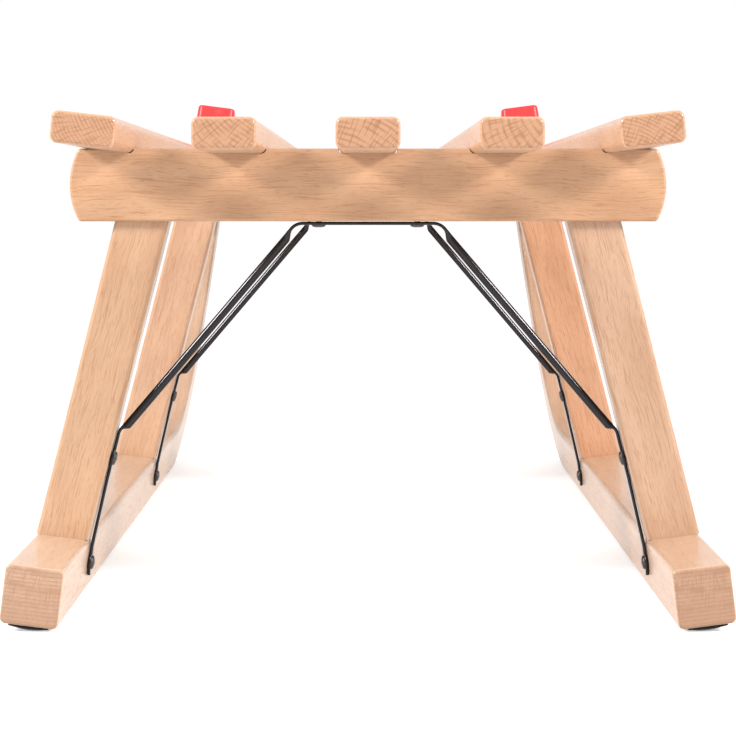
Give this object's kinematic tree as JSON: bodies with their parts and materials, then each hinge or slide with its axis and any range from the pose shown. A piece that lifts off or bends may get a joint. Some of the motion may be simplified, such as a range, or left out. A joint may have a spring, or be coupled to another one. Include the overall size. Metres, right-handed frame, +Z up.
{
  "type": "horned wooden sledge",
  "caption": "Wooden toboggan sledge: slatted seat on crossbars and splayed legs, bent laminated runners that rise into capped horns, steel bands under the runners and bent steel rod braces.",
  "frame": {"origin": "on the ground, under the middle of the sledge's length and width", "axes": "+Y forwards, towards the horns; +Z up; +X to the rider's right"},
  "size_m": [0.3722, 1.0108, 0.3002],
  "materials": {
    "slat_wood": "clear lacquered beech, satin",
    "crossbar_wood": "clear lacquered beech, satin",
    "leg_wood": "clear lacquered beech, satin",
    "runner_wood": "clear lacquered bent laminated beech, satin",
    "cap_plastic": "moulded red plastic, semi-gloss",
    "band_steel": "dark blued steel strip, satin",
    "brace_steel": "black lacquered steel rod, glossy",
    "fastener_steel": "zinc plated steel, satin"
  },
  "bodies": {
    "root": {"band_screw_left_1": "fastener_steel", "band_screw_left_2": "fastener_steel", "band_screw_left_3": "fastener_steel", "band_screw_left_bend": "fastener_steel", "band_screw_right_1": "fastener_steel", "band_screw_right_2": "fastener_steel", "band_screw_right_3": "fastener_steel", "band_screw_right_bend": "fastener_steel", "front_brace": "brace_steel", "front_brace_screw_crossbar_left": "fastener_steel", "front_brace_screw_crossbar_right": "fastener_steel", "front_brace_screw_leg_left": "fastener_steel", "front_brace_screw_leg_right": "fastener_steel", "front_brace_screw_runner_left": "fastener_steel", "front_brace_screw_runner_right": "fastener_steel", "front_leg_left": "leg_wood", "front_leg_right": "leg_wood", "front_rail": "crossbar_wood", "horn_bolt_left": "fastener_steel", "horn_bolt_nut_left": "fastener_steel", "horn_bolt_nut_right": "fastener_steel", "horn_bolt_right": "fastener_steel", "horn_cap_left": "cap_plastic", "horn_cap_right": "cap_plastic", "middle_crossbar": "crossbar_wood", "rear_brace": "brace_steel", "rear_brace_screw_crossbar_left": "fastener_steel", "rear_brace_screw_crossbar_right": "fastener_steel", "rear_brace_screw_leg_left": "fastener_steel", "rear_brace_screw_leg_right": "fastener_steel", "rear_brace_screw_runner_left": "fastener_steel", "rear_brace_screw_runner_right": "fastener_steel", "rear_crossbar": "crossbar_wood", "rear_leg_left": "leg_wood", "rear_leg_right": "leg_wood", "runner_band_left": "band_steel", "runner_band_right": "band_steel", "runner_left": "runner_wood", "runner_right": "runner_wood", "seat_slat_centre": "slat_wood", "seat_slat_inner_left": "slat_wood", "seat_slat_inner_right": "slat_wood", "seat_slat_outer_left": "slat_wood", "seat_slat_outer_right": "slat_wood", "slat_screw_front_centre": "fastener_steel", "slat_screw_front_inner_left": "fastener_steel", "slat_screw_front_inner_right": "fastener_steel", "slat_screw_front_outer_left": "fastener_steel", "slat_screw_front_outer_right": "fastener_steel", "slat_screw_middle_centre": "fastener_steel", "slat_screw_middle_inner_left": "fastener_steel", "slat_screw_middle_inner_right": "fastener_steel", "slat_screw_middle_outer_left": "fastener_steel", "slat_screw_middle_outer_right": "fastener_steel", "slat_screw_rear_centre": "fastener_steel", "slat_screw_rear_inner_left": "fastener_steel", "slat_screw_rear_inner_right": "fastener_steel", "slat_screw_rear_outer_left": "fastener_steel", "slat_screw_rear_outer_right": "fastener_steel"}
  },
  "joints": []
}
